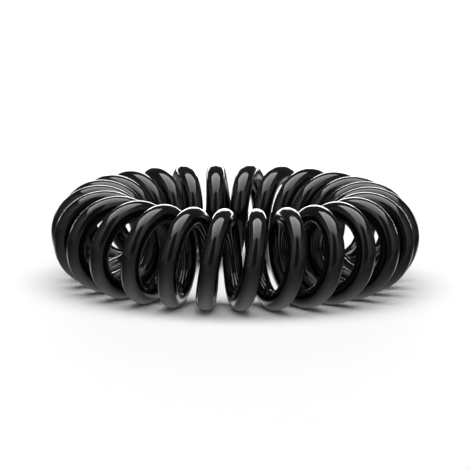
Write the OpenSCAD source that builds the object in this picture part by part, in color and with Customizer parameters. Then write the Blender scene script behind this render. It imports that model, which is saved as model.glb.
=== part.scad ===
// Spiral hair tie: one glossy cord wound into a coil, and the coil bent into a closed ring.
// The ring lies flat, with its axis along Z. The origin is under its centre, on the surface it lies on.

/* [Ring] */
// Outside diameter of the relaxed tie
ring_d = 40; // [32:1:56]

/* [Coil] */
// Outside diameter of the coil, which is also the height of the tie
coil_d = 10.8; // [8:0.2:13]
// Diameter of the cord
cord_d = 2.1; // [1.6:0.1:2.8]
// Clear gap left between neighbouring turns where they crowd round the hole, when all are alike
turn_gap = 0.35; // [0.3:0.05:1.2]
// Winding angle at which the coil crosses the +X axis, in degrees from its outer side
turn_start = 42; // [0:1:359]
// How unevenly the turns are spaced round the ring, from 0, all alike, to 1, as wound
turn_play = 1; // [0:0.1:1.2]

/* [Weld] */
// Which turn the ends of the cord are fused on, counted round the ring from +X
weld_turn = 7; // [0:1:15]
// Length of the fused stretch along the cord
weld_len = 4.5; // [3:0.5:7]
// How far the fused stretch stands proud of the cord
weld_rise = 0.2; // [0.1:0.05:0.3]

/* [Hidden] */

// Radius of the circle that the coil follows, and radius at which the cord winds round it
path_r = (ring_d - coil_d) / 2;
wind_r = (coil_d - cord_d) / 2;

// As many turns as fit round the hole with the gap between them
turns = floor(2 * PI * (path_r - wind_r) / (cord_d + turn_gap));

// The turns are spaced a little unevenly, in slow waves round the ring. The splay waves move
// their outer sides and the crowd waves their inner sides. One row for each wave: [waves round
// the ring, size in degrees, start in degrees]
splay_waves = [[1, 0.71, 203], [2, 0.29, 346], [3, 0.09, 283], [4, 0.08, 218], [5, 0.14, 39]];
crowd_waves = [
    [1, 0.26, 5], [2, 0.19, 199], [3, 0.08, 313], [4, 0.17, 327], [5, 0.2, 245], [6, 0.19, 161],
    [7, 0.21, 93]
];

// The weld sits low on the outer side of its turn
weld_side = -45;
weld_wind = 360 * weld_turn + weld_side;
weld_reach = weld_len / 2 / (PI * wind_r / 180);

// Facets: sides of the cord, and rings of points in each turn. Four rings of each turn lie
// at its top, bottom, inner and outer side, and the rest are as many as the limit on the
// coil's triangles allows.
cord_sides = 10;
most_triangles = 12000;
rings_per_turn = 4 * floor(most_triangles / (4 * 2 * cord_sides * turns));
rings = turns * rings_per_turn;

function unit(v) = v / norm(v);

// Sum of a set of waves at an angle round the ring, in degrees
function play(waves, around) =
    turn_play * [for (w = waves) w[1] * sin(w[0] * around + w[2])] * [for (w = waves) 1];

// Angle round the ring from +X that the coil reaches at a winding angle. The splay is full
// at the outer side of a turn, and the crowding at the inner side.
function round_ring(wind) =
    let (around = (wind - turn_start) / turns)
    around + play(splay_waves, around) * (1 + cos(wind)) / 2
        + play(crowd_waves, around) * (1 - cos(wind)) / 2;

// Direction from the middle of the coil out to the cord
function outward(wind) =
    let (around = round_ring(wind))
    [cos(wind) * cos(around), cos(wind) * sin(around), sin(wind)];

// Point on the centre line of the cord
function cord_line(wind) =
    let (around = round_ring(wind))
    [path_r * cos(around), path_r * sin(around), coil_d / 2] + wind_r * outward(wind);

// Direction in which the cord runs on
function heading(wind) =
    let (step = 0.5)
    unit(cord_line(wind + step) - cord_line(wind - step));

// Radius of the cord, which swells in a smooth hump over the weld
function cord_r(wind) =
    let (off = abs(wind - weld_wind) / weld_reach)
    cord_d / 2 + (off < 1 ? weld_rise * pow(cos(90 * off), 2) : 0);

// Ring of points round the cord, with one corner straight out from the middle of the coil
function cord_ring(wind) =
    let (
        middle = cord_line(wind),
        run = heading(wind),
        side = unit(cross(run, outward(wind))),
        out = cross(side, run)
    )
    [for (k = [0 : cord_sides - 1])
        let (a = 360 * k / cord_sides)
        middle + cord_r(wind) * (cos(a) * out + sin(a) * side)];

// Number of a corner, counted ring after ring, where the last ring is followed by the first
function corner(ring, k) = (ring % rings) * cord_sides + k % cord_sides;

// The whole cord, from the bottom of one turn round the ring to the same place again
module coil() {
    bottom = -90;
    step = 360 / rings_per_turn;
    points = [for (i = [0 : rings - 1]) each cord_ring(bottom + i * step)];
    faces = [for (i = [0 : rings - 1], k = [0 : cord_sides - 1]) each [
        [corner(i, k), corner(i, k + 1), corner(i + 1, k + 1)],
        [corner(i, k), corner(i + 1, k + 1), corner(i + 1, k)]
    ]];
    color("#141415") polyhedron(points, faces, convexity = 20);
}

coil();
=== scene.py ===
"""Spiral hair tie: a black elastic cord wound into a coil, and the coil closed into a ring."""

import bpy
import numpy as np
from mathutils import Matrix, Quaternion, Vector


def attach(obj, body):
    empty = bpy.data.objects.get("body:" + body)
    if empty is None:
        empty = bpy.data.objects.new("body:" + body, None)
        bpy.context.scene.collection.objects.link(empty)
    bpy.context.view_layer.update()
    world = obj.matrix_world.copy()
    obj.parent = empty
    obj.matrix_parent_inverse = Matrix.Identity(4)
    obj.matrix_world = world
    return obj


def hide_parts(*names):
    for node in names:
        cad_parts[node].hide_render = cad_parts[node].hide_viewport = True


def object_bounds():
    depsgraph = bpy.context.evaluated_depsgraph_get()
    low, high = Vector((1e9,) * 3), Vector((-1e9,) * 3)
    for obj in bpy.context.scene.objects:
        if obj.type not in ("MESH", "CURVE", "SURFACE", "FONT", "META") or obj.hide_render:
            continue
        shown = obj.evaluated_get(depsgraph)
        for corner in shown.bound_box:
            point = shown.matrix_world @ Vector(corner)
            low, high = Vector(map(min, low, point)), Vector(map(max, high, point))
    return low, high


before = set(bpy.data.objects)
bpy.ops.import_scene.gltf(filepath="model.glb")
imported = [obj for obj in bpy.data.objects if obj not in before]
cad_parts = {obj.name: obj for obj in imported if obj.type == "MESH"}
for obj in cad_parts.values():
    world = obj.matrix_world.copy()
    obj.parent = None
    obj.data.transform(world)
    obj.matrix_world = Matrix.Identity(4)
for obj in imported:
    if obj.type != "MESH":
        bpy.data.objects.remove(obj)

cad_low, cad_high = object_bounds()

# Camera
# The photograph looks slightly down on the tie, from about 10 degrees above the surface it lies
# on, through a long lens, and is turned by less than a degree.
MM = 0.001
ring_middle = Vector((0.0, 0.0, (cad_low.z + cad_high.z) / 2))
camera_rise = np.radians(10.33)
camera_turn = np.radians(0.66)
camera_reach = 454 * MM
camera = bpy.data.objects.new("camera", bpy.data.cameras.new("camera"))
camera.data.sensor_width = 36.0
camera.data.lens = 320.0
camera.data.clip_start = 10 * MM
camera.data.clip_end = 20.0
towards_camera = Vector((0.0, -np.cos(camera_rise), np.sin(camera_rise)))
camera.location = ring_middle + camera_reach * towards_camera
camera.rotation_mode = "QUATERNION"
camera.rotation_quaternion = ((-towards_camera).to_track_quat("-Z", "Y")
    @ Quaternion((0.0, 0.0, 1.0), camera_turn))
bpy.context.scene.collection.objects.link(camera)
bpy.context.scene.camera = camera

# Studio
# A plain pale floor that runs on out of sight, under soft boxes: a wide one overhead, a low lit
# backdrop with a narrower piece at either end and a window above it, and dim panels at both
# sides and either side of the camera. The gap between the two beside the camera gives each front
# turn its thin dark line.
scene = bpy.context.scene
scene.view_settings.view_transform = "Standard"


def linear(hex_colour):
    """Linear RGBA of an sRGB hex colour: each channel through the sRGB curve's inverse."""
    c = np.array([int(hex_colour[i:i + 2], 16) for i in (0, 2, 4)]) / 255
    low, high = c / 12.92, ((c + 0.055) / 1.055) ** 2.4
    return (*np.where(c <= 0.04045, low, high).tolist(), 1.0)


def add_node(tree, kind, settings=None, values=None, links=None):
    """Adds a node of a kind, sets its properties and input values, and links its inputs."""
    node = tree.nodes.new(kind)
    for name, value in (settings or {}).items():
        setattr(node, name, value)
    for name, value in (values or {}).items():
        node.inputs[name].default_value = value
    for name, output in (links or {}).items():
        tree.links.new(output, node.inputs[name])
    return node


def fresh_tree(owner):
    """Node tree of a material, world or light, emptied."""
    owner.use_nodes = True
    owner.node_tree.nodes.clear()
    return owner.node_tree


floor_half = 8.0
floor_mesh = bpy.data.meshes.new("floor")
floor_mesh.from_pydata(
    [(x * floor_half, y * floor_half, 0.0) for x, y in ((-1, -1), (1, -1), (1, 1), (-1, 1))],
    [], [(0, 1, 2, 3)])
floor = bpy.data.objects.new("floor", floor_mesh)
scene.collection.objects.link(floor)
floor.visible_glossy = False

floor_paint = bpy.data.materials.new("matt_pale_card")
tree = fresh_tree(floor_paint)
shader = add_node(tree, "ShaderNodeBsdfPrincipled",
    values={"Base Color": linear("C8C8C8"), "Roughness": 0.9, "IOR": 1.3})
add_node(tree, "ShaderNodeOutputMaterial", links={"Surface": shader.outputs["BSDF"]})
floor_mesh.materials.append(floor_paint)

# The gloss of the tie sees dim studio air instead of the floor, so that its low sides stay as
# deep a black as in the photograph. The air glows more straight down and low in front, and in a
# narrow patch low behind at either side, which draws the thin light line along the lower outer
# edges of the turns there. The camera sees it as plain white.
air_glow = 0.10
front_glow = 0.30
down_glow = 1.1
patch_glow = 1.6
world = bpy.data.worlds.new("studio_air")
scene.world = world
tree = fresh_tree(world)
way = add_node(tree, "ShaderNodeTexCoord")
axes = add_node(tree, "ShaderNodeSeparateXYZ", links={"Vector": way.outputs["Generated"]})
down = add_node(tree, "ShaderNodeMath", {"operation": "MULTIPLY", "use_clamp": True},
    {1: -1.0}, {0: axes.outputs["Z"]})
steep = add_node(tree, "ShaderNodeMath", {"operation": "POWER"}, {1: 3.0}, {0: down.outputs[0]})
front = add_node(tree, "ShaderNodeMath", {"operation": "MULTIPLY", "use_clamp": True},
    {1: -1.0}, {0: axes.outputs["Y"]})
below = add_node(tree, "ShaderNodeMath", {"operation": "MULTIPLY", "use_clamp": True},
    {1: 8.0}, {0: down.outputs[0]})
near = add_node(tree, "ShaderNodeMath", {"operation": "MULTIPLY"}, None,
    {0: front.outputs[0], 1: below.outputs[0]})
near_glow = add_node(tree, "ShaderNodeMath", {"operation": "MULTIPLY_ADD"},
    {1: front_glow, 2: air_glow}, {0: near.outputs[0]})
glow = add_node(tree, "ShaderNodeMath", {"operation": "MULTIPLY_ADD"}, {1: down_glow},
    {0: steep.outputs[0], 2: near_glow.outputs[0]})
aside = add_node(tree, "ShaderNodeMath", {"operation": "ABSOLUTE"}, None, {0: axes.outputs["X"]})

# One row for each limit of the patches: part of the direction, where the glow is none, where full
patch = None
for part, none_at, full_at in ((aside.outputs[0], 0.3, 0.5), (down.outputs[0], 0.16, 0.3),
        (down.outputs[0], 0.52, 0.36), (axes.outputs["Y"], 0.3, 0.75)):
    share = add_node(tree, "ShaderNodeMapRange", None, {"From Min": none_at, "From Max": full_at},
        {"Value": part})
    if patch:
        share = add_node(tree, "ShaderNodeMath", {"operation": "MULTIPLY"}, None,
            {0: patch.outputs[0], 1: share.outputs[0]})
    patch = share
glow = add_node(tree, "ShaderNodeMath", {"operation": "MULTIPLY_ADD"}, {1: patch_glow},
    {0: patch.outputs[0], 2: glow.outputs[0]})
cast = add_node(tree, "ShaderNodeBackground", values={"Color": linear("FFFFFF")},
    links={"Strength": glow.outputs[0]})
seen = add_node(tree, "ShaderNodeBackground", values={"Color": linear("FCFCFC"), "Strength": 1.0})
path = add_node(tree, "ShaderNodeLightPath")
either = add_node(tree, "ShaderNodeMixShader", links={"Fac": path.outputs["Is Camera Ray"],
    1: cast.outputs["Background"], 2: seen.outputs["Background"]})
add_node(tree, "ShaderNodeOutputWorld", links={"Surface": either.outputs["Shader"]})

# One row for each light: name, middle in metres, width and height in metres, brightness, and the
# shares of that brightness at its low or near edge and at its left and right edges, as they are
# for someone behind the light
soft_boxes = [
    ("overhead", (0.0, -0.015, 0.90), 1.3, 0.95, 7.2, 0.34, 1.0, 0.85),
    ("backdrop", (0.0, 1.50, 0.15), 1.2, 0.26, 5.5, 1.0, 1.0, 1.0),
    ("back_left", (-0.85, 1.50, 0.09), 0.5, 0.14, 5.5, 1.0, 1.0, 0.8),
    ("back_right", (0.85, 1.50, 0.09), 0.5, 0.14, 5.5, 1.0, 0.8, 1.0),
    ("back_window", (0.0, 1.50, 0.49), 0.7, 0.42, 5.5, 1.0, 1.0, 1.0),
    ("front_left", (-1.32, -1.30, 1.08), 1.5, 2.64, 1.7, 0.18, 0.4, 1.0),
    ("front_right", (1.32, -1.30, 1.08), 1.5, 2.64, 1.7, 0.18, 1.0, 0.4),
    ("side_left", (-1.70, -0.3, 0.90), 1.8, 1.8, 0.6, 0.7, 0.1, 1.0),
    ("side_right", (1.70, -0.3, 0.90), 1.8, 1.8, 0.6, 0.7, 1.0, 0.1),
]
for name, middle, width, height, brightness, low_share, left_share, right_share in soft_boxes:
    lamp = bpy.data.lights.new(name, "AREA")
    lamp.shape = "RECTANGLE"
    lamp.size, lamp.size_y = width, height
    lamp.energy = np.pi * width * height * brightness
    tree = fresh_tree(lamp)
    place = add_node(tree, "ShaderNodeNewGeometry")
    across = add_node(tree, "ShaderNodeSeparateXYZ", links={"Vector": place.outputs["Parametric"]})
    rising = add_node(tree, "ShaderNodeMapRange", None, {"To Min": low_share, "To Max": 1.0},
        {"Value": across.outputs["Y"]})
    sideways = add_node(tree, "ShaderNodeMapRange", None,
        {"To Min": left_share, "To Max": right_share}, {"Value": across.outputs["X"]})
    strength = add_node(tree, "ShaderNodeMath", {"operation": "MULTIPLY"}, None,
        {0: rising.outputs["Result"], 1: sideways.outputs["Result"]})
    shine = add_node(tree, "ShaderNodeEmission", links={"Strength": strength.outputs[0]})
    add_node(tree, "ShaderNodeOutputLight", links={"Surface": shine.outputs["Emission"]})
    box = bpy.data.objects.new(name, lamp)
    box.location = middle
    box.visible_camera = False
    if name == "overhead":
        aim = Vector((0.0, 0.0, -1.0))
    elif name.startswith("side"):
        aim = Vector((-middle[0], 0.0, 0.0))
    else:
        aim = Vector((0.0, -middle[1], 0.0))
    box.rotation_mode = "QUATERNION"
    box.rotation_quaternion = aim.to_track_quat("-Z", "Y")
    scene.collection.objects.link(box)

# Coiled cord
# The whole tie is one cord of thermoplastic polyurethane, extruded, wound hot round a rod and
# set, with its two ends fused. The turns crowd round the hole and splay a little unevenly
# outside it.
ring_d = 40 * MM
coil_d = cad_high.z - cad_low.z
cord_d = 2.1 * MM
turn_gap = 0.35 * MM
turn_start = np.radians(42)

# The slow waves in the spacing of the turns, round the ring: one set moves their outer sides and
# the other their inner sides. One row for each wave: waves round the ring, size in degrees,
# start in degrees
splay_waves = ((1, 0.71, 203), (2, 0.29, 346), (3, 0.09, 283), (4, 0.08, 218), (5, 0.14, 39))
crowd_waves = ((1, 0.26, 5), (2, 0.19, 199), (3, 0.08, 313), (4, 0.17, 327), (5, 0.2, 245),
    (6, 0.19, 161), (7, 0.21, 93))
path_r = (ring_d - coil_d) / 2
wind_r = (coil_d - cord_d) / 2
turns = int(2 * np.pi * (path_r - wind_r) / (cord_d + turn_gap))

# The weld, low on the outer side of a turn at the back, with a low flash line round its middle
weld_turn = 7
weld_side = np.radians(-45)
weld_len = 4.5 * MM
weld_rise = 0.2 * MM
weld_flash = 0.06 * MM
flash_half = 0.2 * MM

# The cord swells and thins a little along its length, as it left the die. One row for each wave:
# waves in the whole cord, share of the radius, start in radians
swell_waves = ((31, 0.004, 0.7), (57, 0.005, 2.1), (83, 0.004, 4.0), (124, 0.003, 5.2))


def outward(wind, around):
    """Unit vectors from the middle of the coil out to the cord, at winding angle w and angle a
    round the ring: (cos w cos a, cos w sin a, sin w)."""
    level = np.cos(wind)
    return np.stack([level * np.cos(around), level * np.sin(around), np.sin(wind)], -1)


def play(waves, even):
    """Sum of a set of waves at an even angle e round the ring: size * sin(n e + start)."""
    return sum(np.radians(size) * np.sin(n * even + np.radians(start)) for n, size, start in waves)


def cord_line(wind):
    """Centre line of the cord. The coil's middle runs round a circle of path_r at an angle that
    grows evenly with the winding angle w, plus the splay, full at the outer side of a turn, and
    the crowding, full at the inner side. The cord lies wind_r out from it, at the winding angle."""
    even = (wind - turn_start) / turns
    around = (even + play(splay_waves, even) * (1 + np.cos(wind)) / 2
        + play(crowd_waves, even) * (1 - np.cos(wind)) / 2)
    middle = path_r * np.stack([np.cos(around), np.sin(around), 0 * around], -1)
    middle[:, 2] += ring_middle.z
    out = outward(wind, around)
    return middle + wind_r * out, out


def unit(v):
    """Vectors scaled to a length of 1."""
    return v / np.linalg.norm(v, axis=-1, keepdims=True)


rings_per_turn = 90
sides = 30
rings = turns * rings_per_turn
weld_wind = 2 * np.pi * weld_turn + weld_side
wind = weld_wind + 2 * np.pi * np.arange(rings) / rings_per_turn
line, out = cord_line(wind)
step = 1e-4
run = unit(cord_line(wind + step)[0] - cord_line(wind - step)[0])
side = unit(np.cross(run, out))
out = np.cross(side, run)

# The radius along the cord: cord_d / 2, times 1 and the swellings, plus a cos squared hump over
# the weld and the bell of its flash
share_along = np.arange(rings) / rings
cord_len = turns * 2 * np.pi * wind_r
from_weld = np.minimum(share_along, 1 - share_along) * cord_len
hump = np.where(from_weld < weld_len / 2, np.cos(np.pi * from_weld / weld_len) ** 2, 0.0)
flash = weld_flash * np.exp(-(from_weld / flash_half) ** 2)
swell = sum(size * np.sin(2 * np.pi * n * share_along + start) for n, size, start in swell_waves)
radius = (cord_d / 2 * (1 + swell) + weld_rise * hump + flash)[:, None, None]

# Rings of points round the centre line, and the quads between them, where the last ring is
# followed by the first
a = 2 * np.pi * np.arange(sides) / sides
spokes = (np.cos(a)[None, :, None] * out[:, None, :]
    + np.sin(a)[None, :, None] * side[:, None, :])
points = line[:, None, :] + radius * spokes
i, k = np.meshgrid(np.arange(rings), np.arange(sides), indexing="ij")
next_i, next_k = (i + 1) % rings, (k + 1) % sides
quads = np.stack([i * sides + k, i * sides + next_k,
    next_i * sides + next_k, next_i * sides + k], -1).reshape(-1, 4)

mesh = bpy.data.meshes.new("spiral_coil")
mesh.from_pydata(points.reshape(-1, 3).tolist(), [], quads.tolist())
mesh.shade_smooth()
u = np.stack([i, i, i + 1, i + 1], -1) / rings
v = np.stack([k, k + 1, k + 1, k], -1) / sides
uv = mesh.uv_layers.new(name="along_cord")
uv.data.foreach_set("uv", np.stack([u, v], -1).astype(np.float32).ravel())
coil = bpy.data.objects.new("spiral_coil", mesh)
scene.collection.objects.link(coil)

# Thermoplastic polyurethane, extruded and left with the glossy skin that it cools with. It gives
# the eye a deep black with sharp reflections that waver a little, because the skin is very
# slightly wavy and pitted and carries faint lines from the die. All of these are worked out in
# millimetres on the cord's own skin, from the UV map, and the lines and pits are drawn wider
# apart than the real ones, so that they show. The fused stretch is duller.
tpu = bpy.data.materials.new("extruded_black_polyurethane")
tree = fresh_tree(tpu)
place = add_node(tree, "ShaderNodeUVMap", {"uv_map": "along_cord"})
split = add_node(tree, "ShaderNodeSeparateXYZ", links={"Vector": place.outputs["UV"]})
turned = add_node(tree, "ShaderNodeMath", {"operation": "MULTIPLY"}, {1: 2 * np.pi},
    {0: split.outputs["Y"]})
cosine = add_node(tree, "ShaderNodeMath", {"operation": "COSINE"}, None, {0: turned.outputs[0]})
sine = add_node(tree, "ShaderNodeMath", {"operation": "SINE"}, None, {0: turned.outputs[0]})
circle = add_node(tree, "ShaderNodeCombineXYZ",
    links={"X": cosine.outputs[0], "Y": sine.outputs[0], "Z": split.outputs["X"]})
on_skin = add_node(tree, "ShaderNodeVectorMath", {"operation": "MULTIPLY"},
    {1: (cord_d / 2 / MM, cord_d / 2 / MM, cord_len / MM)}, {0: circle.outputs["Vector"]})

# The waviness, the pits and the die lines. One row for each: marks in a millimetre round the
# cord, times that along it, finer layers, and height in millimetres
skin_reliefs = ((0.55, 0.6, 1.0, 0.024), (2.2, 1.0, 2.0, 0.0075), (3.4, 0.03, 1.0, 0.005))
height = None
for marks, along, layers, rise in skin_reliefs:
    spread = add_node(tree, "ShaderNodeVectorMath", {"operation": "MULTIPLY"},
        {1: (1.0, 1.0, along)}, {0: on_skin.outputs["Vector"]})
    relief = add_node(tree, "ShaderNodeTexNoise", None, {"Scale": marks, "Detail": layers},
        {"Vector": spread.outputs["Vector"]})
    grown = add_node(tree, "ShaderNodeMath", {"operation": "MULTIPLY_ADD"}, {1: rise, 2: 0.0},
        {0: relief.outputs["Fac"]})
    if height:
        tree.links.new(height.outputs[0], grown.inputs[2])
    height = grown
skin = add_node(tree, "ShaderNodeBump", None, {"Strength": 1.0, "Distance": MM},
    {"Height": height.outputs[0]})

# Roughness: a gloss that handling has dulled in places, specks of dust, and the fused stretch
fresh_gloss, handled_gloss = 0.07, 0.15
speck_dulling = 0.2
weld_dulling = 0.16
off_weld = add_node(tree, "ShaderNodeMath", {"operation": "PINGPONG"}, {1: 0.5},
    {0: split.outputs["X"]})
fused = add_node(tree, "ShaderNodeMapRange", {"interpolation_type": "SMOOTHSTEP"},
    {"From Min": 0.0, "From Max": 0.5 * weld_len / cord_len, "To Min": weld_dulling, "To Max": 0.0},
    {"Value": off_weld.outputs[0]})
handled = add_node(tree, "ShaderNodeTexNoise", None, {"Scale": 0.35, "Detail": 3.0},
    {"Vector": on_skin.outputs["Vector"]})
dull = add_node(tree, "ShaderNodeMapRange", None,
    {"From Min": 0.35, "From Max": 0.7, "To Min": fresh_gloss, "To Max": handled_gloss},
    {"Value": handled.outputs["Fac"]})
dust = add_node(tree, "ShaderNodeTexNoise", None, {"Scale": 3.2, "Detail": 2.0, "Roughness": 0.7},
    {"Vector": on_skin.outputs["Vector"]})
specks = add_node(tree, "ShaderNodeMapRange", None, {"From Min": 0.66, "From Max": 0.76},
    {"Value": dust.outputs["Fac"]})
dusty = add_node(tree, "ShaderNodeMath", {"operation": "MULTIPLY_ADD"}, {1: speck_dulling},
    {0: specks.outputs["Result"], 2: dull.outputs["Result"]})
roughness = add_node(tree, "ShaderNodeMath", {"operation": "ADD"}, None,
    {0: dusty.outputs[0], 1: fused.outputs["Result"]})
colour = add_node(tree, "ShaderNodeMix", {"data_type": "RGBA"},
    {6: linear("070708"), 7: linear("1E1E20")}, {0: specks.outputs["Result"]})
shader = add_node(tree, "ShaderNodeBsdfPrincipled", None, {"IOR": 1.45},
    {"Base Color": colour.outputs[2], "Roughness": roughness.outputs[0],
        "Normal": skin.outputs["Normal"]})
add_node(tree, "ShaderNodeOutputMaterial", links={"Surface": shader.outputs["BSDF"]})
mesh.materials.append(tpu)
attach(coil, "root")
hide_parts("coil")
